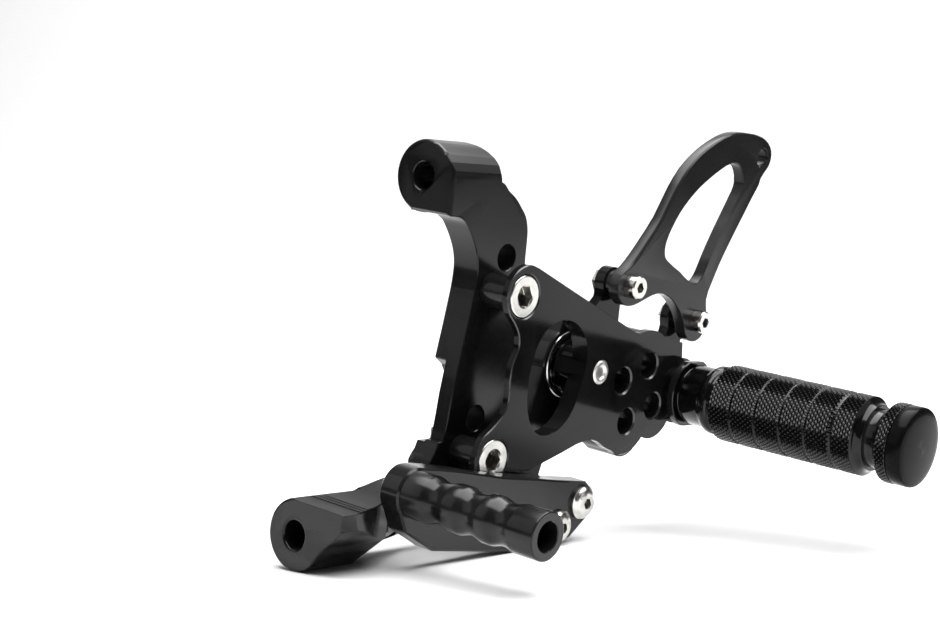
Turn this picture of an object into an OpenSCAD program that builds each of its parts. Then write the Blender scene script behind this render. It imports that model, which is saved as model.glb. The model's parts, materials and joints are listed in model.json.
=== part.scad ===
// Left-hand motorcycle rear set: frame bracket, outer plate, foot peg,
// shift lever with toe peg, and heel guard. Millimetres.
// X forward, Y outboard, Z up. Origin: centre of the upper frame boss face.

/* [Frame bracket] */
// Outboard face of the bracket body
body_y = 12.15; // [11.8:0.05:12.4]
// Thickness of the bracket body
body_t = 8.65; // [7.6:0.05:9]
// Bore for the upper frame bolt
frame_bore = 8.4; // [8.2:0.1:9]
// Length of the upper frame boss
boss_len = 22; // [18:0.5:24]

/* [Outer plate] */
// Outboard face of the plate
plate_y = 25.95; // [25.5:0.05:26.4]
// Thickness of the plate's thin front skin
skin_t = 2.5; // [2:0.1:3]
// Thickness of the middle of the plate
web_t = 6; // [5.5:0.1:6.5]
// Thickness at the peg positions
hub_t = 12.4; // [12:0.1:12.8]
// Distance between peg positions
pitch = 14.4; // [14:0.1:14.8]
// Bore of each peg position
peg_hole = 8.6; // [8.4:0.1:9]
// Tilt of the hole pattern in degrees
tilt = 18.5; // [16:0.5:21]

/* [Shift lever] */
// Diameter of the toe peg
toe_d = 13.7; // [13:0.1:14.5]
// Outer diameter of the lever bearing
bearing_od = 22; // [22:1:22]
// Bore of the lever bearing
bearing_id = 8; // [8:1:8]
// Width of the lever bearing
bearing_w = 7; // [7:1:7]

/* [Foot peg] */
// Diameter of the grip
grip_d = 25.4; // [24.5:0.1:26]

/* [Screws] */
// Head diameter of the plate screws
m8_head_d = 13; // [12.5:0.1:13.5]
// Head diameter of the heel guard screws
m4_head_d = 7.4; // [7:0.1:8]

/* [Hidden] */
$fn = 48;
// pattern positions in x, z
pa = [-77.6, -59.85];
e1 = [-pitch*cos(tilt), pitch*sin(tilt)];
e2 = [-pitch*sin(tilt), -pitch*cos(tilt)];
pb = pa + e1;
pd = pa + e2;
pc = pa + e1 + e2;
pp = pa + 2*e1 + e2;
// screws that hold the plate
s1 = [-22.6, -32.1];
s2 = [-17.1, -81.7];
// lever pivot and toe peg axis
pv = [-65.0, -56.6];
tp = [24.4, -86.4];
// lower frame boss centre in y, z
lb = [11.5, -101.2];
lb_x = 48.1;
// heel guard holes
g1 = [-73.4, -28.8];
g2 = [-112.9, -40.6];
g3 = [-140.2, 15.9];
guard_y = 26.95;
guard_t = 4;
// lever levels
toe_y0 = plate_y + 0.7;
toe_y1 = plate_y + 8;
hub_y1 = 12.9;
hub_y0 = 2.9;

// A closed curve through the points p. A point with a third value is a corner.
function unit(v) = v / max(norm(v), 0.000001);
function flat(p) = [p[0], p[1]];
function lean(a, b, c) = unit(unit(b - a)*norm(c - b) + unit(c - b)*norm(b - a));
function hermite(b, c, tb, tc, s) = b*(2*s*s*s - 3*s*s + 1) + tb*(s*s*s - 2*s*s + s) + c*(3*s*s - 2*s*s*s) + tc*(s*s*s - s*s);
function curve(p, n = 3) = let (m = len(p)) [for (i = [0:m-1])
  let (a = flat(p[(i + m - 1) % m]), b = flat(p[i]), c = flat(p[(i + 1) % m]), d = flat(p[(i + 2) % m]),
       kb = len(p[i]) > 2, kc = len(p[(i + 1) % m]) > 2, l = norm(c - b),
       tb = kb ? unit(c - b) : lean(a, b, c), tc = kc ? unit(c - b) : lean(b, c, d))
  for (k = [0:(kb && kc ? 0 : n - 1)]) hermite(b, c, tb*l, tc*l, k/n)];

module xz(y0, y1) translate([0, y1, 0]) rotate([90, 0, 0]) linear_extrude(y1 - y0) children();
module yz(x0, x1) translate([x0, 0, 0]) rotate([90, 0, 90]) linear_extrude(x1 - x0) children();
module cyl_y(p, y0, y1, r) translate([p[0], y0, p[1]]) rotate([-90, 0, 0]) cylinder(h = y1 - y0, r = r);
module cone_y(p, y0, y1, r0, r1) translate([p[0], y0, p[1]]) rotate([-90, 0, 0]) cylinder(h = y1 - y0, r1 = r0, r2 = r1);
module cyl_x(p, x0, x1, r) translate([x0, p[0], p[1]]) rotate([0, 90, 0]) cylinder(h = x1 - x0, r = r);
module cone_x(p, x0, x1, r0, r1) translate([x0, p[0], p[1]]) rotate([0, 90, 0]) cylinder(h = x1 - x0, r1 = r0, r2 = r1);
module dot(p, r) translate(p) circle(r = r);
module hex_y(p, y0, y1, af) translate([p[0], y0, p[1]]) rotate([-90, 0, 0]) cylinder(h = y1 - y0, r = af/2/cos(30), $fn = 6);

// ---------------------------------------------------------------- bracket
module upper_profile() {
  dot([0, 0], 10.9);
  polygon([[-4, -10.6], [12.15, -10.6], [12.15, 0.5], [11.75, 2.8], [10.6, 5.2], [8.6, 7.3], [6, 9.1], [3, 10.48], [0, 10.9], [-4, 0]]);
}
module upper_boss() {
  difference() {
    intersection() {
      yz(-boss_len, 0) upper_profile();
      // rounded rear end of the head
      xz(-13, 13) polygon([[1, 12], [-14.5, 11.1], [-16.4, 10.9], [-18, 10.4], [-19.5, 9.8], [-20.6, 8.9], [-21.3, 7.7], [-21.7, 6.4], [-21.9, 3.5], [-22.1, -12], [1, -12]]);
    }
    // front edge chamfer
    difference() {
      cyl_x([0, 0], -1.1, 1, 30);
      cone_x([0, 0], -0.7, 0, 11.1, 10.3);
      cyl_x([0, 0], -1.1, -0.69, 40);
      translate([-1.3, 0, -13]) cube([3, 16, 20]);
    }
    translate([0, -20, -9.8]) rotate([0, 45, 0]) translate([0, 0, -6]) cube([4, 40, 6]);
    translate([0, body_y, -20]) rotate([0, 0, 45]) translate([-0.85, -0.85, 0]) cube([1.7, 1.7, 25]);
  }
}
module body_outline() {
  polygon(curve([
    [-4.5, -10.6, 1], [-4.5, 0.2, 1], [-21.9, 0.4, 1], [-23.2, 0.2], [-26, -2], [-29.6, -4.1], [-32.6, -6.7],
    [-35.4, -9.6], [-37, -13.7], [-37.4, -18.3], [-37.6, -23], [-38.6, -28], [-39.3, -33, 1], [-39.3, -80, 1],
    [-37.6, -85], [-31, -90], [-23, -94.8], [-16, -99.2], [-8, -102.8], [-4, -103.8, 1],
    [-4, -88, 1], [-4.2, -85,1],
    [-6, -82], [-7.2, -78.6, 1], [-9.2, -78.3, 1], [-9.8, -75], [-10.8, -64], [-12.9, -50],
    [-14.8, -38], [-15.7, -30], [-15.6, -25.4], [-14.4, -21.4], [-12.3, -17.7], [-10, -14.6],
    [-7.9, -12.3], [-5.6, -10.9, 1]]));
}
module lower_profile() {
  dot(lb, 10.3);
  polygon([[11.5, -86], [29.6, -86], [29.6, -91.4], [29.3, -96.3], [28, -98.4], [26.3, -99.9], [23.5, -102.3], [21.2, -105.2],
           [19.6, -107.6], [16.5, -110], [11.5, -101]]);
}
module arm_profile() {
  polygon([[11.5, -84], [34, -84], [34, -92], [27, -96], [21, -101], [17, -104.6], [16, -113], [6, -113], [3.2, -108],
           [1.4, -104], [1.2, -101.2], [1.5, -98.5], [2.4, -96.3], [4.1, -94], [6.8, -92], [9, -91], [10.6, -89.6], [11.3, -87.6]]);
}
// side view of the arm: flat machined land, three shallow steps, then a long sweep up to the body
module arm_side() {
  polygon(curve([[49, -91.3, 1], [40.5, -91.3, 1], [40.4, -91.1, 1], [38.9, -91.1, 1], [38.8, -90.98, 1], [37.3, -90.98, 1], [37.2, -90.85, 1],
    [34.5, -90.85, 1], [31, -90.75], [27, -90.5], [23.2, -90.05], [17.1, -89.2], [9, -88.3], [5, -87.5], [0, -86.4], [-3.4, -85.2], [-6.3, -82], [-8.6, -78.4, 1],
    [-14, -78, 1], [-14, -100.5, 1], [-8, -102.8], [2, -105], [8.4, -105.9], [14.1, -106.7], [17.2, -108.2], [18.7, -109.5], [20.9, -111], [24.9, -111.6, 1], [49, -112.6, 1]], 3));
}
module arm_plan() {
  polygon(curve([[48.2, 0, 1], [48.2, 29.6, 1], [44, 29.6], [40, 29.1], [35, 27.8], [30, 26], [26, 24],
           [20, 21], [14, 17.8], [8, 14.9], [3, 13], [-3, 12.15, 1], [-40, 12.15, 1], [-40, 3.5, 1],
           [0, 3.5, 1], [6, 3.3], [14, 2.4], [22, 1.2], [30, 0.3], [38, 0, 1]]));
}
module frame_bracket() {
  color("#1b1b1d") difference() {
    union() {
      upper_boss();
      xz(body_y - body_t, body_y) body_outline();
      // thicker upper part of the body
      xz(2, body_y - 1) intersection() {
        body_outline();
        polygon([[-45, 5], [5, 5], [5, -55], [-2, -58], [-16, -60], [-45, -60]]);
      }
      intersection() {
        union() {
          yz(21.5, lb_x) lower_profile();
          // arm between the boss and the body, turned slightly inboard
          translate([22, 11.5, 0]) rotate([0, 0, 13]) translate([0, -11.5, 0]) yz(-34, 1) arm_profile();
          xz(3.5, 22) intersection() {
            body_outline();
            translate([-12, -120]) square([16, 42]);
          }
        }
        translate([0, 0, -130]) linear_extrude(60) arm_plan();
        xz(-2, 40) arm_side();
      }
    }
    // rebate down the inner front edge of the body
    xz(0, 6.6) polygon([[5, -51], [-4, -51.8], [-11, -53.8], [-15.4, -56.6], [-18.2, -61], [-18.2, -75.8], [-12.6, -75.8], [-12.6, -79.4], [5, -79.4]]);
    // underside of the lower boss, cut away toward the body
    translate([26.9, 14, -111.6]) rotate([0, 45, -62.4]) translate([-18, -14, -12]) cube([36, 44, 12]);
    translate([11.4, 14, -105.2]) rotate([0, 30.6, -72.4]) translate([-18, -16, -12]) cube([36, 19, 12]);
    // frame bores
    cyl_x([0, 0], -boss_len - 1, 1, frame_bore/2);
    cyl_x(lb, 24, lb_x + 1, 4);
    cone_x(lb, lb_x - 0.6, lb_x + 0.1, 4, 4.7);
    // lower boss front chamfer
    difference() {
      cyl_x(lb, lb_x - 1, lb_x + 1, 40);
      cone_x(lb, lb_x - 0.8, lb_x, 10.35, 9.8);
      cyl_x(lb, lb_x - 1, lb_x - 0.79, 40);
      translate([lb_x - 1.2, 11.5, -108]) cube([3, 30, 28]);
      translate([lb_x - 1.2, 17, -120]) cube([3, 30, 40]);
    }
    translate([lb_x, -20, -91.4]) rotate([0, 45, 0]) translate([-3, 0, 0]) cube([6, 60, 4]);
    // threaded holes for the plate screws, two heights each
    for (d = [[0, 0], [-5.7, 9.7]]) for (s = [s1, s2])
      cyl_y(s + d, 0, 14, 4);
  }
}

module spacer(p) {
  color("#222224") difference() {
    cyl_y(p, body_y, plate_y - skin_t, 5.1);
    cyl_y(p, body_y - 1, plate_y, 4.2);
  }
}
module spacer_upper() spacer(s1);
module spacer_lower() spacer(s2);

// ---------------------------------------------------------------- outer plate
module plate_outline() {
  dot([-23.4, -31.6], 9);
  dot([-17.3, -82], 8.6);
  for (p = [pb, pc, pd, pp]) dot(p, 11.1);
  polygon(curve([
    [-26.9, -23.3, 1], [-46.3, -30.8, 1], [-64.8, -38, 1], [-76.5, -42.4], [-80.4, -43.9], [-83.4, -44.4], [-87, -43.7], [-91, -43.6], [-94.6, -44.4], [-98.2, -46.1],
    [-103, -47.2], [-108.4, -48, 1], [-109.4, -53.8, 1], [-109.4, -66, 1], [-95.6, -69.2, 1], [-82.2, -73.5, 1],
    [-76.5, -82.9, 1], [-72.5, -81.6], [-68, -79.3], [-64.5, -78.4], [-61, -78.6], [-49.2, -81.8, 1], [-37.5, -85.1, 1],
    [-19.6, -90.3, 1], [-8.7, -82.4, 1], [-9.4, -78.4, 1], [-11.2, -74.4], [-14.4, -72.1], [-17.8, -69.4],
    [-20, -66.8], [-20.8, -63.7], [-20.3, -57.6], [-20.9, -52], [-22.5, -48.4], [-22.2, -44.4],
    [-20, -41], [-16.6, -37.8, 1], [-14.6, -33.5, 1], [-23.4, -31, 1]]));
}
module web_outline() {
  polygon([
    [-36, -31.5], [-46.3, -35], [-64.8, -42.2], [-80, -48], [-84, -60], [-76, -74],
    [-66, -74.6], [-61.6, -74.8], [-49.2, -78], [-37, -81.4], [-30, -78.5], [-26.5, -70],
    [-25.5, -58], [-27.5, -46], [-29.5, -38]]);
}
module hub_outline() {
  for (p = [pa, pb, pc, pd, pp]) dot(p, 10.9);
  dot([-83.5, -76.6], 9);
  dot(pv, 9);
  polygon([pv, pb, pp, pd]);
}
module slot_outline() {
  polygon(curve([[-43.6, -39.4], [-48.6, -40.4], [-53, -43.3], [-55.9, -47.5], [-57, -52.3], [-56.4, -57], [-55.2, -61.5],
    [-53.6, -66.5], [-51.2, -70.4], [-46.8, -74], [-42.2, -75.4], [-37.8, -75.2], [-34.6, -73.6], [-32.2, -70.9], [-30.3, -66.9],
    [-29.3, -61.5], [-29.2, -56.5], [-30.4, -50.8], [-32.7, -45.4], [-35.2, -42.5], [-38.6, -40.3]]));
}
module outer_plate() {
  color("#19191b") difference() {
    union() {
      xz(plate_y - skin_t, plate_y) plate_outline();
      xz(plate_y - web_t, plate_y - 1) web_outline();
      xz(plate_y - hub_t, plate_y - 1) hub_outline();
      // heel guard arms
      xz(16.3, plate_y - web_t - 0.05) {
        dot(g1, 5.1);
        polygon([[-68.9, -30.4], [-68.6, -33.6], [-66, -36.2], [-62, -37.6], [-59, -44], [-66, -52], [-79.2, -49], [-78.8, -36.5], [-78.8, -29.6]]);
      }
      xz(16.3, plate_y - web_t - 0.05) {
        dot(g2, 6.2);
        polygon([[-107.2, -39.8], [-107.8, -43], [-106.6, -48], [-104.6, -54], [-104, -60], [-112, -58], [-117.2, -46], [-119, -41.4]]);
      }
      xz(plate_y - web_t - 1, plate_y - 1) polygon([[-60, -40], [-66, -50], [-98, -57], [-106, -58], [-106, -50], [-98, -48.5], [-82, -48]]);
    }
    xz(0, 40) slot_outline();
    // plate screw seats
    for (s = [s1, s2]) {
      cyl_y(s, 0, 40, 4.2);
      cyl_y(s, plate_y - 1.7, 40, m8_head_d/2 + 0.25);
    }
    // peg positions, recessed from the inboard side
    for (p = [pa, pb, pc, pd, pp]) {
      cyl_y(p, 0, 40, peg_hole/2);
      cone_y(p, 13.45, 17.15, 7.6, peg_hole/2);
      cone_y(p, plate_y - 0.5, plate_y + 0.1, peg_hole/2, peg_hole/2 + 0.6);
    }
    cyl_y(pv, 0, 40, 4);
    cyl_y(g1, 0, 22, 2.1);
    cyl_y(g2, 0, 22, 2.1);
  }
}

// ---------------------------------------------------------------- screws
// low flat head, head face at y1, head height k, thread down to y0
module flat_screw(p, y0, y1, k, rh, rs, af) {
  difference() {
    union() {
      cyl_y(p, y1 - k, y1 - 0.4, rh);
      cone_y(p, y1 - 0.4, y1, rh, rh - 0.4);
      cyl_y(p, y0 + 0.5, y1 - k + 0.1, rs);
      cone_y(p, y0, y0 + 0.5, rs - 0.5, rs);
    }
    hex_y(p, y1 - 3.4, y1 + 1, af);
    cone_y(p, y1 - 0.35, y1 + 0.05, af/2 + 0.1, af/2 + 0.75);
  }
}
module plate_screw_upper() color("#c9c9c4") flat_screw(s1, body_y - body_t, plate_y, 1.7, m8_head_d/2, 4, 6);
module plate_screw_lower() color("#c9c9c4") flat_screw(s2, body_y - body_t, plate_y, 1.7, m8_head_d/2, 4, 6);

module pivot_bolt() {
  color("#c9c9c4") difference() {
    union() {
      cyl_y(pv, hub_y0 - 2.5, plate_y - 0.3, 4);
      cone_y(pv, plate_y - 0.31, plate_y + 0.3, 4, 3.3);
      cone_y(pv, hub_y0 - 6.2, hub_y0 - 4.6, 4.6, 6.6);
      cyl_y(pv, hub_y0 - 4.61, hub_y0 - 1.9, 6.9);
    }
    hex_y(pv, hub_y0 - 7, hub_y0 - 3.4, 5);
    cone_y(pv, plate_y - 0.5, plate_y + 0.4, 1.7, 2.6);
  }
}
module pivot_washer() color("#b9b9b6") difference() {
  cyl_y(pv, hub_y0 - 1.9, hub_y0 + 3, 5.9);
  cyl_y(pv, -20, 20, 4.1);
}
module pivot_spacer() color("#222224") difference() {
  cyl_y(pv, hub_y0 + 10, plate_y - hub_t, 6);
  cyl_y(pv, -20, 30, 4.1);
}
module bearing_inner() color("#b4b5b8") difference() {
  cyl_y(pv, hub_y0 + 3, hub_y0 + 10, 6);
  cyl_y(pv, -20, 20, 4.02);
  translate([pv[0], hub_y0 + 6.5, pv[1]]) rotate([90, 0, 0]) rotate_extrude() translate([7.5, 0]) circle(r = 2.05, $fn = 32);
}
module bearing_outer() color("#b4b5b8") difference() {
  cyl_y(pv, hub_y0 + 3, hub_y0 + 10, 11);
  cyl_y(pv, -20, 20, 9);
  translate([pv[0], hub_y0 + 6.5, pv[1]]) rotate([90, 0, 0]) rotate_extrude() translate([7.5, 0]) circle(r = 2.05, $fn = 32);
}
// balls and cage as one ring
module bearing_cage() color("#9a9b9e")
  translate([pv[0], hub_y0 + 6.5, pv[1]]) rotate([90, 0, 0]) rotate_extrude() translate([7.5, 0]) circle(r = 1.96, $fn = 32);
module bearing_shield() color("#8f9093") difference() {
  cyl_y(pv, hub_y0 + 9, hub_y0 + 9.6, 9);
  cyl_y(pv, -20, 20, 6.2);
}

// ---------------------------------------------------------------- shift lever
module shift_lever() {
  color("#1b1b1d") difference() {
    union() {
      cyl_y(pv, hub_y0, hub_y1, 12.9);
      xz(hub_y0, hub_y1) polygon([[-53.5, -52], [-50, -66], [-46.4, -80], [-43.5, -92], [-38.5, -99], [-39.5, -104], [-56, -104], [-56.5, -92], [-60, -80], [-74.5, -63]]);
      xz(hub_y0, hub_y1) { dot([-65, -41.2], 5); polygon([[-70, -41.2], [-60, -41.2], [-57, -50], [-73, -50]]); }
      xz(hub_y1 - 1, toe_y0) polygon([[-44, -91.8], [-37.8, -98.4], [-38, -105.6], [-50, -106], [-57.5, -98], [-57, -92.4], [-52, -91.6]]);
    }
    cyl_y(pv, hub_y0 + 3, hub_y1 + 1, 11);
    cyl_y(pv, hub_y0 - 1, hub_y1, 9.6);
    cyl_y([-65, -41.2], hub_y0 - 1, hub_y1 + 1, 2.55);
    for (p = [[-52.6, -95.6], [-42, -102.4]]) cyl_y(p, 14, 40, 2.5);
  }
}
module toe_outline() {
  dot(tp, 7.5);
  polygon(curve([[23.6, -78.9, 1], [10, -80.6], [-2, -82.6], [-13.8, -84.6], [-28, -86.2], [-40.5, -87.8], [-54.2, -89.2, 1], [-58.5, -92.4, 1],
           [-59.7, -98, 1], [-47.6, -107.2, 1], [-42, -108.4, 1], [-19, -108, 1], [14.4, -103.9, 1], [27, -97.2, 1], [31.6, -88, 1], [24.4, -86.4, 1]]));
}
module toe_plate() {
  color("#1b1b1d") difference() {
    xz(toe_y0, toe_y1) toe_outline();
    cyl_y(tp, 0, 50, 3.1);
    cone_y(tp, toe_y0 - 0.1, toe_y0 + 3.15, 6.25, 3.05);
    for (p = [[-52.6, -95.6], [-42, -102.4]]) cyl_y(p, 14, 40, 2.6);
  }
}
module button_screw(p, y0, y1) {
  color("#cfcfca") difference() {
    union() {
      cyl_y(p, y0, y1 + 0.01, 2.5);
      cyl_y(p, y1, y1 + 0.9, 5.2);
      cone_y(p, y1 + 0.89, y1 + 2, 5.2, 4.2);
      cone_y(p, y1 + 1.99, y1 + 2.7, 4.2, 2.5);
    }
    hex_y(p, y1 + 0.8, y1 + 4, 3);
  }
}
module toe_screw_rear() button_screw([-52.6, -95.6], 15, toe_y1);
module toe_screw_front() button_screw([-42, -102.4], 15, toe_y1);
// toe peg: finger grooves along a hollow tube
module toe_peg() {
  color("#232325") translate([tp[0], toe_y1, tp[1]]) rotate([-90, 0, 0]) rotate_extrude($fn = 56)
    polygon([[3.03, 0], [6.85, 0], [6.85, 6.7], [6.65, 8], [6.2, 9.6], [5.98, 10.9], [6, 12.1], [6.28, 13.9], [6.85, 15.5],
             [6.85, 19], [6.65, 20.3], [6.2, 22], [5.98, 23.3], [6, 24.5], [6.28, 26.2], [6.85, 27.7],
             [6.85, 30.5], [6.65, 31.7], [6.2, 33.3], [5.98, 34.6], [6, 35.9], [6.28, 37.6], [6.85, 39.2],
             [6.85, 47.2], [6.5, 47.6], [4.15, 47.6], [4.15, 18], [3.03, 16.5]]);
}
module toe_peg_screw() {
  color("#cfcfca") difference() {
    union() {
      cone_y(tp, toe_y0 + 0.05, toe_y0 + 3.05, 6, 3);
      cyl_y(tp, toe_y0 + 3, toe_y0 + 19, 3);
    }
    hex_y(tp, toe_y0 - 1, toe_y0 + 2.4, 4);
  }
}

// ---------------------------------------------------------------- heel guard
module guard_outline() {
  polygon(curve([
    [-119.4, 22.6], [-124.4, 23.4], [-131, 23.5], [-138.9, 22.8], [-143.2, 21.2], [-145.8, 18.6], [-146.3, 15.6], [-145.4, 12.8],
    [-143, 10.2], [-140.2, 6.6], [-133.2, -4], [-126.2, -14.9], [-122.4, -21.4], [-119.4, -28], [-117.7, -33.4],
    [-118.7, -37.4], [-119.8, -41.2], [-118.4, -45.2], [-114.8, -47.6], [-110.8, -47.4], [-107.6, -45], [-106.2, -41.8], [-103.2, -37.8],
    [-100, -35], [-96.2, -32.6], [-92.2, -31.4], [-88.4, -31.4], [-84, -32.6], [-79.6, -34.2], [-75.8, -35.2],
    [-71.6, -35], [-68, -32.4], [-66.8, -28.8], [-68.2, -25.2], [-71.6, -22.6], [-75.6, -18.8], [-79.3, -14.6], [-85.9, -6.6], [-91.9, 3.6], [-96.6, 9.6], [-102.6, 14.6],
    [-110.6, 19.2]], 2));
}
module guard_slot() {
  polygon(curve([[-129.6, 8.8], [-127.6, 11.6], [-125, 12.9], [-121.6, 12.7], [-116, 10.4], [-110.7, 7.5], [-105, 3.9], [-100, -0.2], [-95.6, -4.8],
    [-92.4, -9.6], [-90.3, -14], [-89.9, -17], [-90.6, -19.2], [-92.7, -20.7], [-100, -24], [-106.4, -27.3], [-108.8, -27.9],
    [-111.2, -27.4], [-113.2, -25.4], [-115, -22], [-122, -9.2], [-128.6, 1.8], [-130.2, 4.8], [-130.4, 6.8]], 2));
}
module heel_guard() {
  color("#1d1d1f") difference() {
    xz(guard_y - guard_t, guard_y) guard_outline();
    xz(0, 40) guard_slot();
    cyl_y(g1, 0, 40, 2.15);
    cyl_y(g2, 0, 40, 2.15);
    cyl_y(g3, 0, 40, 3);
  }
}
module guard_spacer(p) color("#222224") difference() {
  cyl_y(p, plate_y - web_t - 0.05, guard_y - guard_t, 4.4);
  cyl_y(p, 0, 40, 2.15);
}
module guard_spacer_front() guard_spacer(g1);
module guard_spacer_rear() guard_spacer(g2);
module cap_screw(p) {
  color("#cfcfca") difference() {
    union() {
      cyl_y(p, guard_y, guard_y + 3.6, m4_head_d/2);
      cone_y(p, guard_y + 3.59, guard_y + 4, m4_head_d/2, m4_head_d/2 - 0.4);
      cyl_y(p, 13.4, guard_y + 0.1, 2);
    }
    hex_y(p, guard_y + 1.6, guard_y + 5, 3);
  }
}
module guard_screw_front() cap_screw(g1);
module guard_screw_rear() cap_screw(g2);
module guard_nut(p) color("#bdbdb9") difference() {
  hex_y(p, 14.1, 16.3, 7);
  cyl_y(p, 0, 40, 2.02);
}
module guard_nut_front() guard_nut(g1);
module guard_nut_rear() guard_nut(g2);

// ---------------------------------------------------------------- foot peg
py0 = plate_y;
module peg_base() {
  color("#1b1b1d") translate([pp[0], py0, pp[1]]) rotate([-90, 0, 0]) difference() {
    union() {
      rotate_extrude($fn = 64) polygon([[0, 0], [8.6, 0], [8.6, 3.6], [8.8, 7], [9.6, 7.1], [10, 7.6], [10, 14.1], [10.4, 15.1], [11.4, 16.2],
        [11.4, 18.1], [10.7, 18.9], [10.6, 19.8], [6.5, 19.8], [6.5, 79], [6, 79.5], [0, 79.5]]);
      // collar with two flats
      intersection() {
        rotate_extrude($fn = 64) polygon([[0, 3.4], [11.2, 3.4], [11.5, 3.7], [11.5, 5.7], [11.2, 6], [0, 6]]);
        translate([-15, -10.75, 0]) cube([30, 21.5, 10]);
      }
    }
    translate([0, 0, -1]) cylinder(h = 23, r = 4);
    translate([0, 0, 68]) cylinder(h = 15, r = 3);
  }
}
module peg_grip() {
  color("#232325") translate([pp[0], py0, pp[1]]) rotate([-90, 0, 0]) difference() {
    rotate_extrude($fn = 72) polygon([[6.55, 19.8], [11.6, 19.8], [12.7, 21],
      [12.7, 29.2], [11.9, 29.8], [11.9, 30.6], [12.7, 31.2], [12.7, 38.6], [11.9, 39.2], [11.9, 40], [12.7, 40.6],
      [12.7, 48], [11.9, 48.6], [11.9, 49.4], [12.7, 50], [12.7, 57.4], [11.9, 58], [11.9, 58.8], [12.7, 59.4],
      [12.7, 72.5], [11.6, 73.2], [10.8, 74], [10.4, 75.2], [10.2, 75.4], [6.55, 75.4]]);
  }
}
module peg_lock_ring() {
  color("#1f1f21") translate([pp[0], py0, pp[1]]) rotate([-90, 0, 0]) rotate_extrude($fn = 64)
    polygon([[6.55, 75.4], [9.3, 75.4], [9.3, 78.2], [9.7, 79.6], [10.6, 80.4], [12.2, 80.7], [12.7, 81.2], [12.7, 84.2], [12.4, 84.5], [6.2, 84.5], [6.2, 79.7], [6.55, 79.6]]);
}
module peg_end_cap() {
  color("#141415") translate([pp[0], py0, pp[1]]) rotate([-90, 0, 0]) rotate_extrude($fn = 64)
    polygon([[0, 72], [2.9, 72], [2.9, 84.5], [8, 84.5], [8, 84.9], [12.3, 84.9], [12.5, 85.1], [12.5, 88.6], [12.3, 89.3], [11.9, 89.6], [10, 89.9], [7, 90.2], [3.5, 90.4], [0, 90.45]]);
}
module peg_mount_screw() {
  color("#cfcfca") difference() {
    union() {
      cone_y(pp, 13.7, 17.0, 7.15, 4);
      cyl_y(pp, 16.99, plate_y + 20, 4);
    }
    hex_y(pp, 13, 16.6, 5);
  }
}

frame_bracket();
spacer_upper();
spacer_lower();
outer_plate();
plate_screw_upper();
plate_screw_lower();
pivot_bolt();
pivot_washer();
pivot_spacer();
bearing_inner();
bearing_outer();
bearing_cage();
bearing_shield();
shift_lever();
toe_plate();
toe_screw_rear();
toe_screw_front();
toe_peg();
toe_peg_screw();
heel_guard();
guard_spacer_front();
guard_spacer_rear();
guard_screw_front();
guard_screw_rear();
guard_nut_front();
guard_nut_rear();
peg_base();
peg_grip();
peg_lock_ring();
peg_end_cap();
peg_mount_screw();
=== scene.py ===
import bpy, bmesh, math, json
from mathutils import Vector, Matrix


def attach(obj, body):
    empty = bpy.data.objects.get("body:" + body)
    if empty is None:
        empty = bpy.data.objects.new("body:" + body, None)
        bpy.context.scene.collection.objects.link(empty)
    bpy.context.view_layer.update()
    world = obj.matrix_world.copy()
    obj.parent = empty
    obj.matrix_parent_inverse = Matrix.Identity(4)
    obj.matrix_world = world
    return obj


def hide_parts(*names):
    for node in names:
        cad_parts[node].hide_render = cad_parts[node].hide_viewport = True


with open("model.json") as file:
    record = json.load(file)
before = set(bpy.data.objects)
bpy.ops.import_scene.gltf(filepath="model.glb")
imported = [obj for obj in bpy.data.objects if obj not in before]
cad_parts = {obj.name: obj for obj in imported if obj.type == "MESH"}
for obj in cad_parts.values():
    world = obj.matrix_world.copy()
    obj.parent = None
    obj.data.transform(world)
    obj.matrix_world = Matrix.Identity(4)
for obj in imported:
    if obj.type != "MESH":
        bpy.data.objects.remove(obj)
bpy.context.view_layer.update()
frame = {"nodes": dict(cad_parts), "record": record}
NODES = frame["nodes"]
BODY_OF = {}
for b, members in ((frame["record"].get("behaviour") or {}).get("bodies") or {"root": sorted(NODES)}).items():
    for n in members:
        BODY_OF[n] = b
MM = 0.001
SC = bpy.context.scene


# ------------------------------------------------------------------ materials
def new_mat(name):
    m = bpy.data.materials.new(name)
    m.use_nodes = True
    nt = m.node_tree
    for n in list(nt.nodes):
        nt.nodes.remove(n)
    out = nt.nodes.new("ShaderNodeOutputMaterial")
    bs = nt.nodes.new("ShaderNodeBsdfPrincipled")
    nt.links.new(bs.outputs["BSDF"], out.inputs["Surface"])
    return m, nt, bs


def node(nt, kind, **props):
    n = nt.nodes.new(kind)
    for k, v in props.items():
        setattr(n, k, v)
    return n


def ramp(nt, src, stops):
    r = node(nt, "ShaderNodeValToRGB")
    el = r.color_ramp.elements
    while len(el) > 1:
        el.remove(el[-1])
    el[0].position, el[0].color = stops[0][0], (*stops[0][1], 1)
    for p, c in stops[1:]:
        e = el.new(p)
        e.color = (*c, 1)
    nt.links.new(src, r.inputs["Fac"])
    return r


def maprange(nt, src, a, b, lo=0.0, hi=1.0):
    r = node(nt, "ShaderNodeMapRange")
    r.inputs["From Min"].default_value, r.inputs["From Max"].default_value = lo, hi
    r.inputs["To Min"].default_value, r.inputs["To Max"].default_value = a, b
    nt.links.new(src, r.inputs["Value"])
    return r.outputs["Result"]


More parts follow.
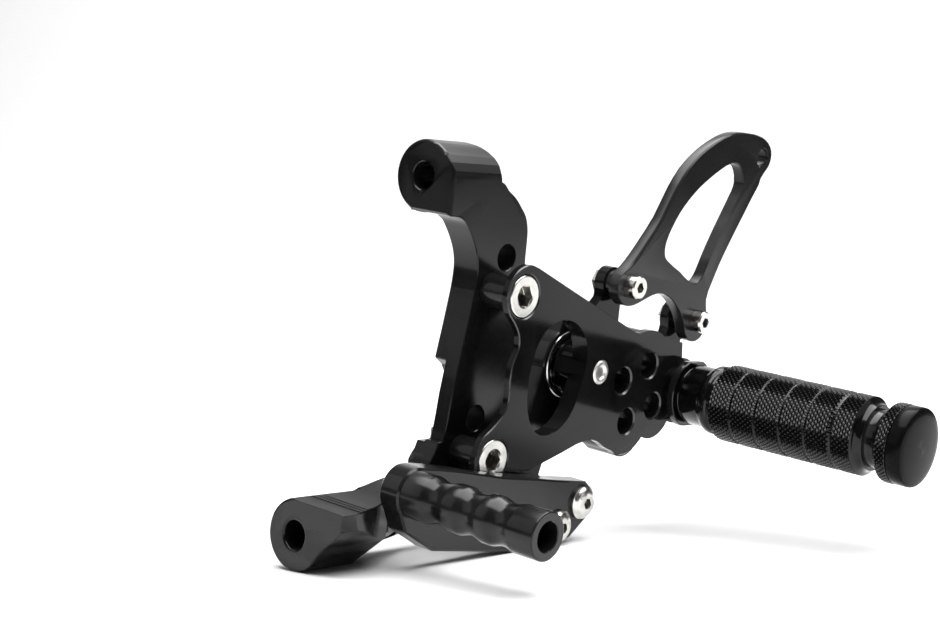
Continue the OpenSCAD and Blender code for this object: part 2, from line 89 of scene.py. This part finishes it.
def anodised(name, dark=0.004, light=0.009, rough=0.26, spread=0.07, bump=0.02, metallic=0.0, spec=0.4, stretch=(1, 1, 1), wear=0.05):
    """Black anodised aluminium: fine machining grain, cloudy dye, slightly paler edges."""
    m, nt, bs = new_mat(name)
    co = node(nt, "ShaderNodeTexCoord")
    cloud = node(nt, "ShaderNodeTexNoise")
    cloud.inputs["Scale"].default_value = 38
    cloud.inputs["Detail"].default_value = 5
    nt.links.new(co.outputs["Object"], cloud.inputs["Vector"])
    mp = node(nt, "ShaderNodeMapping")
    mp.inputs["Scale"].default_value = stretch
    nt.links.new(co.outputs["Object"], mp.inputs["Vector"])
    grain = node(nt, "ShaderNodeTexNoise")
    grain.inputs["Scale"].default_value = 900
    grain.inputs["Detail"].default_value = 3
    nt.links.new(mp.outputs["Vector"], grain.inputs["Vector"])
    geo = node(nt, "ShaderNodeNewGeometry")
    edge = maprange(nt, geo.outputs["Pointiness"], 0, 1, 0.53, 0.62)
    base = ramp(nt, cloud.outputs["Fac"], [(0.3, (dark,) * 3), (0.7, (light, light, light * 1.04))])
    mix = node(nt, "ShaderNodeMix", data_type="RGBA")
    nt.links.new(edge, mix.inputs["Factor"])
    nt.links.new(base.outputs["Color"], mix.inputs["A"])
    mix.inputs["B"].default_value = (wear, wear, wear * 1.02, 1)
    nt.links.new(mix.outputs["Result"], bs.inputs["Base Color"])
    add = node(nt, "ShaderNodeMath", operation="ADD")
    nt.links.new(maprange(nt, cloud.outputs["Fac"], rough - spread / 2, rough + spread / 2, 0.25, 0.75), add.inputs[0])
    nt.links.new(maprange(nt, grain.outputs["Fac"], -spread / 6, spread / 6, 0.2, 0.8), add.inputs[1])
    nt.links.new(add.outputs["Value"], bs.inputs["Roughness"])
    bp = node(nt, "ShaderNodeBump")
    bp.inputs["Strength"].default_value = bump
    bp.inputs["Distance"].default_value = 0.0002
    nt.links.new(grain.outputs["Fac"], bp.inputs["Height"])
    nt.links.new(bp.outputs["Normal"], bs.inputs["Normal"])
    bs.inputs["Metallic"].default_value = metallic
    bs.inputs["Specular IOR Level"].default_value = spec
    return m


def steel(name, col=(0.62, 0.60, 0.57), rough=0.22, spread=0.12, bump=0.08, dark=0.5):
    """Turned stainless steel: grain, slight stains, and painted shade darkening its concave spots."""
    m, nt, bs = new_mat(name)
    co = node(nt, "ShaderNodeTexCoord")
    cloud = node(nt, "ShaderNodeTexNoise")
    cloud.inputs["Scale"].default_value = 420
    cloud.inputs["Detail"].default_value = 6
    nt.links.new(co.outputs["Object"], cloud.inputs["Vector"])
    grain = node(nt, "ShaderNodeTexNoise")
    grain.inputs["Scale"].default_value = 2600
    nt.links.new(co.outputs["Object"], grain.inputs["Vector"])
    base = ramp(nt, cloud.outputs["Fac"], [(0.28, tuple(c * dark for c in col)), (0.5, col), (0.8, tuple(min(1, c * 1.25) for c in col))])
    geo = node(nt, "ShaderNodeNewGeometry")
    # painted shade: concave spots (low pointiness) are mixed towards a dark brown-grey
    hollow_shade = maprange(nt, geo.outputs["Pointiness"], 1, 0, 0.40, 0.49)
    mix = node(nt, "ShaderNodeMix", data_type="RGBA")
    nt.links.new(hollow_shade, mix.inputs["Factor"])
    nt.links.new(base.outputs["Color"], mix.inputs["A"])
    mix.inputs["B"].default_value = (0.12, 0.11, 0.1, 1)
    nt.links.new(mix.outputs["Result"], bs.inputs["Base Color"])
    nt.links.new(maprange(nt, cloud.outputs["Fac"], rough - spread / 2, rough + spread / 2, 0.3, 0.7), bs.inputs["Roughness"])
    bp = node(nt, "ShaderNodeBump")
    bp.inputs["Strength"].default_value = bump
    bp.inputs["Distance"].default_value = 0.0001
    nt.links.new(grain.outputs["Fac"], bp.inputs["Height"])
    nt.links.new(bp.outputs["Normal"], bs.inputs["Normal"])
    bs.inputs["Metallic"].default_value = 1.0
    return m


M_PLATE = anodised("black_plate", dark=0.0015, light=0.0035, rough=0.10, spread=0.03, bump=0.003, spec=0.15, stretch=(0.15, 1, 1), wear=0.012)
M_BRACKET = anodised("black_bracket", dark=0.002, light=0.0045, rough=0.17, spread=0.04, bump=0.004, spec=0.25, wear=0.015)
M_GUARD = anodised("black_guard", dark=0.006, light=0.012, rough=0.2, spread=0.05, bump=0.006, spec=0.22, wear=0.03)
M_LEVER = anodised("black_lever", dark=0.002, light=0.005, rough=0.16, spread=0.04, bump=0.004, spec=0.27, wear=0.02)
M_TOE = anodised("black_toe_peg", dark=0.0035, light=0.008, rough=0.22, spread=0.05, bump=0.005, spec=0.28, wear=0.03)
M_KNURL = anodised("black_knurl", dark=0.001, light=0.003, rough=0.16, spread=0.04, bump=0.004, spec=0.30, wear=0.03)
M_TURNED = anodised("black_turned", dark=0.0015, light=0.003, rough=0.14, spread=0.04, bump=0.003, spec=0.26, wear=0.02)
M_CAP = anodised("black_cap", dark=0.002, light=0.004, rough=0.2, spread=0.05, bump=0.004, spec=0.05, wear=0.02)
M_PEG = anodised("black_peg_core", dark=0.0015, light=0.003, rough=0.14, spread=0.04, bump=0.005, spec=0.34, wear=0.02)
# tapped hole walls: painted shade, a near-black dull copy of the bracket finish standing in for the dark inside the
# holes
M_THREAD_SHADE = anodised("tapped_hole_painted_shade", dark=0.0005, light=0.0015, rough=0.5, spread=0.1, bump=0.03, spec=0.05, wear=0.01)
M_STEEL = steel("stainless", col=(0.62, 0.61, 0.575), rough=0.22, spread=0.06, bump=0.03, dark=0.8)
M_ARM_TOP = anodised("black_milled_top", dark=0.002, light=0.0045, rough=0.4, spread=0.04, bump=0.004, spec=0.06, wear=0.01)
# upward faces of the head: painted highlight, a paler and shinier copy of the bracket finish
M_HEAD_TOP_LIT = anodised("black_head_top_painted_highlight", dark=0.003, light=0.006, rough=0.32, spread=0.04, bump=0.004, spec=0.55, wear=0.015)
# outboard chamfers of the plate: painted highlight, a paler and shinier copy of the plate finish
M_RIM_HIGHLIGHT = anodised("black_edge_painted_highlight", dark=0.006, light=0.012, rough=0.24, spread=0.06, bump=0.004, spec=0.75, wear=0.05)
M_BOLT_END = steel("bolt_end", col=(0.8, 0.79, 0.77), rough=0.42, spread=0.08, bump=0.03, dark=0.85)
M_BEAR = steel("bearing_steel", col=(0.6, 0.6, 0.6), rough=0.2, spread=0.06, bump=0.02, dark=0.8)


# ------------------------------------------------------------------ meshes
EDGES = []


def finish_mesh(ob, mat, angle=32):
    me = ob.data
    for p in me.polygons:
        p.use_smooth = True
    me.set_sharp_from_angle(angle=math.radians(angle))
    me.materials.clear()
    me.materials.append(mat)
    return ob


def new_obj(name, me):
    ob = bpy.data.objects.new(name, me)
    SC.collection.objects.link(ob)
    return ob


def folded(me):
    """Centres of the triangles that face against their own polygon."""
    me.calc_loop_triangles()
    out = []
    for t in me.loop_triangles:
        if t.area > 1e-11 and t.normal.dot(me.polygons[t.polygon_index].normal) < 0.5:
            out.append((Vector(t.center), math.sqrt(t.area)))
    return out


def flat_faces(me):
    """Large flat faces are shaded flat, and only the broken edges turn."""
    big = set()
    for p in me.polygons:
        longest = max((me.vertices[a].co - me.vertices[b].co).length for a, b in p.edge_keys)
        if p.area / longest > 2.6 * MM:
            big.add(p.index)
    normals = [Vector(c.vector) for c in me.corner_normals]
    for p in me.polygons:
        if p.index in big:
            for k in p.loop_indices:
                normals[k] = Vector(p.normal)
    me.normals_split_custom_set([tuple(v) for v in normals])


def machined(nd, mat, width=0.3, angle=32, seg=1, crease=28):
    """A CAD node with its flat faces merged and its edges broken."""
    src = NODES[nd]
    base = src.data.copy()
    w = width * MM
    bm = bmesh.new()
    bm.from_mesh(base)
    bmesh.ops.remove_doubles(bm, verts=bm.verts, dist=2e-6)
    bmesh.ops.dissolve_limit(bm, angle_limit=math.radians(0.6), use_dissolve_boundaries=False, verts=bm.verts, edges=bm.edges, delimit=set())
    lay = bm.edges.layers.float.get("bevel_weight_edge") or bm.edges.layers.float.new("bevel_weight_edge")
    live = []
    for e in bm.edges:
        e[lay] = 0.0
        if len(e.link_faces) != 2 or e.calc_face_angle(0) < math.radians(angle):
            continue
        a, b = e.verts[0].co, e.verts[1].co
        d = (b - a).normalized()
        scale = 1.0
        if nd == "heel_guard":
            mid = (a + b) / 2
            wall = min((f for f in e.link_faces), key=lambda f: abs(f.normal.y))
            out = wall.normal.dot(Vector((mid.x + 0.109, 0, mid.z + 0.009))) > 0
            scale = 1.0 if out and mid.y > 0.025 and mid.z > -0.025 else 0.35
        reach = min(max(((v.co - a) - d * (v.co - a).dot(d)).length for v in f.verts) for f in e.link_faces)
        if reach > 2.2 * w * scale:
            e[lay] = scale
            live.append(e)
    ob = new_obj(nd + "_body", base)
    bad = None
    for tries in range(7):
        bm.to_mesh(base)
        md = ob.modifiers.new("edge", "BEVEL")
        md.width = w
        md.segments = seg
        md.limit_method = "WEIGHT"
        md.miter_outer = "MITER_SHARP"
        md.use_clamp_overlap = False
        bpy.context.view_layer.update()
        me = bpy.data.meshes.new_from_object(ob.evaluated_get(bpy.context.evaluated_depsgraph_get()))
        ob.modifiers.clear()
        bad = folded(me)
        if not bad:
            break
        n = 0
        for e in live:
            if e[lay] and any(((e.verts[0].co + e.verts[1].co) / 2 - c).length < max(2.0 * w, r) * (1 + 0.5 * tries) + e.calc_length() / 2 for c, r in bad):
                e[lay] = 0.0
                n += 1
        if not n:
            break
    bm.free()
    EDGES.append((nd, tries, len(bad), len(live), sum(r * r for c, r in bad) * 1e6))
    ob.data = me
    for a in [a.name for a in me.attributes if a.name == "custom_normal"]:
        me.attributes.remove(me.attributes[a])
    for p in me.polygons:
        p.use_smooth = True
    me.set_sharp_from_angle(angle=math.radians(crease))
    wn = ob.modifiers.new("flat", "WEIGHTED_NORMAL")
    wn.mode = "FACE_AREA"
    wn.weight = 100
    wn.keep_sharp = True
    bpy.context.view_layer.update()
    done = bpy.data.meshes.new_from_object(ob.evaluated_get(bpy.context.evaluated_depsgraph_get()))
    ob.modifiers.clear()
    ob.data = done
    flat_faces(done)
    done.materials.clear()
    done.materials.append(mat)
    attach(ob, BODY_OF[nd])
    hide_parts(nd)
    return ob


def lathe(name, profile, centre, nd, mat, seg=128, closed=True, crease=30, rmap=None):
    """Turns a profile of (radius, y) in mm round a line along Y through centre (x, z)."""
    bm = bmesh.new()
    rings = []
    for r, y in profile:
        ring = []
        for k in range(seg):
            t = 2 * math.pi * k / seg
            rr = r if rmap is None else rmap(r, y, t)
            ring.append(bm.verts.new(((centre[0] + rr * math.cos(t)) * MM, y * MM, (centre[1] + rr * math.sin(t)) * MM)))
        rings.append(ring)
    n = len(rings)
    for i in range(n if closed else n - 1):
        a, b = rings[i], rings[(i + 1) % n]
        for k in range(seg):
            bm.faces.new((a[k], a[(k + 1) % seg], b[(k + 1) % seg], b[k]))
    bmesh.ops.remove_doubles(bm, verts=bm.verts, dist=1e-7)
    bmesh.ops.dissolve_degenerate(bm, dist=1e-8, edges=bm.edges)
    bmesh.ops.recalc_face_normals(bm, faces=bm.faces)
    me = bpy.data.meshes.new(name)
    bm.to_mesh(me)
    bm.free()
    ob = new_obj(name, me)
    finish_mesh(ob, mat, crease)
    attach(ob, BODY_OF[nd])
    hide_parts(nd)
    return ob


PEG = (-109.481, -64.359)
TOE = (24.4, -86.4)
PY = 25.95


def knurled(name, nd, mat, y0, y1, r, rin, n_round, pitch, depth, grooves=(), ends=(), turned=None):
    """A tube with a diamond knurl cut in true relief, grooves round it and turned ends."""
    bm = bmesh.new()
    nth = n_round * 4
    nys = max(2, int(round((y1 - y0) / pitch * 4)))
    rows = []
    for j in range(nys + 1):
        y = y0 + (y1 - y0) * j / nys
        row = []
        g = 0.0
        for c in grooves:
            d = abs(y - c)
            if d < 0.55:
                g = max(g, min(1.0, (0.55 - d) / 0.25))
        for i in range(nth):
            a, b = (i + j) % 4, (i - j) % 4
            h = min((0, 0.5, 1, 0.5)[a], (0, 0.5, 1, 0.5)[b])
            rr = r - depth * (1 - min(h, 0.85) / 0.85)
            rr = rr * (1 - g) + (r - 0.62) * g
            t = 2 * math.pi * i / nth
            row.append(bm.verts.new(((PEG[0] + rr * math.cos(t)) * MM, (PY + y) * MM, (PEG[1] + rr * math.sin(t)) * MM)))
        rows.append(row)
    for j in range(nys):
        for i in range(nth):
            p, q = rows[j][i], rows[j][(i + 1) % nth]
            s, t = rows[j + 1][i], rows[j + 1][(i + 1) % nth]
            if (i + j) % 2 == 0:
                bm.faces.new((p, q, t)); bm.faces.new((p, t, s))
            else:
                bm.faces.new((p, q, s)); bm.faces.new((q, t, s))
    flat = set(bm.faces)

    def ring(rr, y):
        return [bm.verts.new(((PEG[0] + rr * math.cos(2 * math.pi * i / nth)) * MM, (PY + y) * MM, (PEG[1] + rr * math.sin(2 * math.pi * i / nth)) * MM)) for i in range(nth)]

    def bridge(a, b):
        for i in range(nth):
            bm.faces.new((a[i], a[(i + 1) % nth], b[(i + 1) % nth], b[i]))

    # outer end, bore, inner end
    chain = [rows[-1]] + [ring(rr, y) for rr, y in ends]
    for a, b in zip(chain, chain[1:]):
        bridge(a, b)
    bridge(chain[-1], rows[0])
    bmesh.ops.recalc_face_normals(bm, faces=bm.faces)
    me = bpy.data.meshes.new(name)
    for f in bm.faces:
        f.smooth = f not in flat
    bm.to_mesh(me)
    bm.free()
    me.set_sharp_from_angle(angle=math.radians(35))
    me.materials.append(mat)
    if turned:
        me.materials.append(turned)
        n = len(flat)
        for k, f in enumerate(me.polygons):
            if k >= n:
                f.material_index = 1
    ob = new_obj(name, me)
    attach(ob, BODY_OF[nd])
    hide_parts(nd)
    return ob


# machined pieces
bracket = machined("frame_bracket", M_BRACKET, 0.3)
for m in (M_THREAD_SHADE, M_ARM_TOP, M_HEAD_TOP_LIT):
    bracket.data.materials.append(m)
for p in bracket.data.polygons:
    if p.normal.z > 0.9 and p.center.z < -0.086:
        p.material_index = 2
    # painted highlight: upward faces of the head get the paler, shinier head-top material
    if p.normal.z > 0.3 and abs(p.normal.x) < 0.8 and p.center.z > 0:
        p.material_index = 3
    # painted shade: walls of the tapped holes get the near-black hole material
    for x, z in ((-22.6, -32.1), (-17.1, -81.7), (-28.3, -22.4), (-22.8, -72.0)):
        if math.hypot(p.center.x - x * MM, p.center.z - z * MM) < 4.05 * MM and abs(p.normal.y) < 0.3:
            p.material_index = 1
plate = machined("outer_plate", M_PLATE, 0.32, angle=40)
plate.data.materials.append(M_RIM_HIGHLIGHT)
# painted highlight: chamfer faces turned outboard get the paler, shinier rim material
for p in plate.data.polygons:
    if 0.25 < p.normal.y < 0.93 and p.center.y > 0.0235:
        p.material_index = 1
machined("shift_lever", M_LEVER, 0.4)
machined("toe_plate", M_LEVER, 0.6)
machined("heel_guard", M_GUARD, 1.1, seg=3, crease=24)
for nd in ("spacer_upper", "spacer_lower", "pivot_spacer", "guard_spacer_front", "guard_spacer_rear"):
    machined(nd, M_BRACKET, 0.2)
machined("pivot_bolt", M_BOLT_END, 0.15)
for nd in ("plate_screw_upper", "plate_screw_lower", "pivot_washer", "toe_screw_rear", "toe_screw_front",
           "toe_peg_screw", "guard_screw_front", "guard_screw_rear", "guard_nut_front", "guard_nut_rear", "peg_mount_screw"):
    machined(nd, M_STEEL, 0.15)
for nd in ("bearing_inner", "bearing_outer", "bearing_cage", "bearing_shield"):
    machined(nd, M_BEAR, 0.25)

# foot peg
GROOVES = (28.6, 37.8, 47.0, 56.2, 65.4)
knurled("peg_grip_body", "peg_grip", M_KNURL, 20.9, 72.4, 12.68, 6.6, 46, 1.86, 0.55, GROOVES,
        ends=[(12.6, 72.5), (12.35, 72.75), (11.8, 73.0), (11.2, 73.4), (10.75, 73.95), (10.5, 74.6), (10.4, 75.2), (10.2, 75.38), (6.6, 75.38), (6.6, 19.85), (11.3, 19.85), (11.6, 20.1)], turned=M_TURNED)
knurled("peg_lock_ring_body", "peg_lock_ring", M_KNURL, 81.2, 84.2, 12.68, 6.25, 46, 1.5, 0.5, (),
        ends=[(12.3, 84.45), (6.25, 84.45), (6.25, 79.75), (6.6, 79.6), (6.6, 75.42), (9.3, 75.42), (9.3, 78.0), (9.5, 79.2), (10.2, 80.1), (11.2, 80.55), (12.2, 80.72)], turned=M_TURNED)


def wrench_flats(r, y, t):
    """The collar next to the plate is a disc with two flats."""
    if 3.2 < y < 6.3 and abs(math.sin(t)) > 0.5:
        return min(r, 10.75 / abs(math.sin(t)))
    return r


lathe("peg_base_body", [(0.01, 0.0), (8.4, 0), (8.6, 0.2), (8.6, 3.2), (8.8, 3.4), (11.2, 3.4), (11.5, 3.7), (11.5, 5.7), (11.2, 6.0), (9.0, 6.05), (8.8, 6.3), (8.8, 6.95), (9.5, 7.1), (9.85, 7.3), (10.0, 7.7),
      (10.0, 13.9), (10.15, 14.5), (10.6, 15.3), (11.2, 15.9), (11.4, 16.3), (11.4, 18.1), (11.2, 18.45), (10.8, 18.8), (10.6, 19.78), (6.5, 19.8), (6.5, 78.9), (6.1, 79.45), (0.01, 79.5)], PEG, "peg_base", M_PEG, rmap=wrench_flats)
for o in (bpy.data.objects["peg_base_body"],):
    o.data.transform(Matrix.Translation((0, PY * MM, 0)))
lathe("peg_end_cap_body", [(0.01, 72.0), (2.9, 72.0), (2.9, 84.5), (8, 84.5), (8, 84.9), (12.25, 84.9), (12.42, 84.96), (12.5, 85.15), (12.5, 88.5), (12.46, 88.9), (12.32, 89.25), (12.08, 89.48), (11.8, 89.6), (10, 89.88),
      (8, 90.1), (6, 90.26), (4, 90.37), (2, 90.43), (0.01, 90.45)], PEG, "peg_end_cap", M_CAP)
bpy.data.objects["peg_end_cap_body"].data.transform(Matrix.Translation((0, PY * MM, 0)))

# toe peg: three finger grooves, each with a crisp outer edge
pts = [(3.03, 0.0), (6.7, 0.0), (6.85, 0.15)]
for a, b in ((6.7, 15.5), (19.0, 27.7), (30.5, 39.2)):
    for q in range(15):
        u = q / 14
        w = math.sin(math.pi * u ** 0.95) ** 1.25 * (1.0 if u < 0.5 else 1.0)
        pts.append((6.85 - 0.92 * max(w, 0.0), a + (b - a) * u))
pts += [(6.85, 47.1), (6.72, 47.4), (6.45, 47.57), (4.45, 47.57), (4.15, 47.3), (4.15, 18), (3.03, 16.5)]
lathe("toe_peg_body", pts, TOE, "toe_peg", M_TOE, seg=112, crease=22)
bpy.data.objects["toe_peg_body"].data.transform(Matrix.Translation((0, (PY + 8.0) * MM, 0)))


# ------------------------------------------------------------------ stage
def simple(name, col, rough=0.9, emit=None, strength=1.0):
    m, nt, bs = new_mat(name)
    bs.inputs["Base Color"].default_value = (*col, 1)
    bs.inputs["Roughness"].default_value = rough
    bs.inputs["Specular IOR Level"].default_value = 0.2
    if emit:
        bs.inputs["Emission Color"].default_value = (*emit, 1)
        bs.inputs["Emission Strength"].default_value = strength
    return m


def quad(name, pts, mat):
    me = bpy.data.meshes.new(name)
    me.from_pydata([Vector(p) for p in pts], [], [tuple(range(len(pts)))])
    me.materials.append(mat)
    ob = new_obj(name, me)
    return ob


FN = Vector((0.0052, -0.12, 1.0))
F0 = Vector((0.0481, 0.0144, -0.1108))


def floor_z(x, y):
    return F0.z - (FN.x * (x - F0.x) + FN.y * (y - F0.y)) / FN.z - 0.0004


M_FLOOR = simple("floor_white", (0.74, 0.74, 0.74), 0.8)
fwd = Vector((-0.7531, -0.6470, 0)).normalized()
side = Vector((-0.6578, 0.7437, 0)).normalized()


def sweep():
    """A white sheet: level round the part, then curving up behind it."""
    bm = bmesh.new()
    rows = []
    prof = [(-0.36, 0.0), (-0.1, 0.0), (0.2, 0.0), (0.8, 0.0), (1.5, 0.0)]
    prof += [(1.5 + 0.9 * math.sin(a), 0.9 * (1 - math.cos(a))) for a in [math.radians(9 * k) for k in range(1, 11)]] + [(2.4, 3.2)]
    for d, h in prof:
        row = []
        for k in range(-6, 7):
            p = fwd * d + side * (k * (0.075 + 0.075 * max(0.0, d + 0.4)))
            row.append(bm.verts.new((p.x, p.y, floor_z(p.x, p.y) + h)))
        rows.append(row)
    for a, b in zip(rows, rows[1:]):
        for k in range(12):
            f = bm.faces.new((a[k], b[k], b[k + 1], a[k + 1]))
            f.smooth = True
    me = bpy.data.meshes.new("sweep")
    bm.to_mesh(me)
    bm.free()
    me.materials.append(M_FLOOR)
    ob = new_obj("sweep", me)


sweep()


def area(name, loc, target, size, power, size_y=None, col=(1, 1, 1)):
    d = bpy.data.lights.new(name, "AREA")
    d.shape = "RECTANGLE"
    d.size, d.size_y = size, size_y or size
    d.energy = power
    d.color = col
    o = bpy.data.objects.new(name, d)
    SC.collection.objects.link(o)
    o.location = loc
    o.rotation_mode = "QUATERNION"
    o.rotation_quaternion = (Vector(target) - Vector(loc)).to_track_quat("-Z", "Y")
    return o


ctr = Vector((-0.045, 0.035, -0.05))
area("top_softbox", ctr + Vector((-0.1, 0.0, 1.2)), ctr, 1.7, 62)
area("back_wash", ctr + fwd * 1.3 + Vector((0, 0, 1.2)), ctr + fwd * 2.2 + Vector((0, 0, 0.2)), 1.6, 24)
area("left_softbox", ctr + Vector((0.8, -0.75, 0.5)), ctr, 0.9, 2)
area("right_softbox", ctr + Vector((-0.5, 0.95, 0.6)), ctr, 0.9, 1.5)

w = bpy.data.worlds.new("world")
SC.world = w
w.use_nodes = True
bg = w.node_tree.nodes["Background"]
bg.inputs["Color"].default_value = (0.8, 0.82, 0.85, 1)
bg.inputs["Strength"].default_value = 0.1
SC.view_settings.view_transform = "Standard"

# ------------------------------------------------------------------ camera
cam = bpy.data.cameras.new("camera")
cam.sensor_width = 36.0
cam.lens = 36.0 * 1812.0 / 940.0
cam.clip_start, cam.clip_end = 0.01, 50
co = bpy.data.objects.new("camera", cam)
SC.collection.objects.link(co)
back = Vector((0.7531, 0.6470, 0.1194)).normalized()
right = Vector((-0.6578, 0.7437, 0.1196))
right = (right - back * right.dot(back)).normalized()
up = back.cross(right)
rot = Matrix((right, up, back)).transposed()
co.matrix_world = Matrix.Translation((0.39408, 0.36303, 0.02579)) @ rot.to_4x4()
SC.camera = co
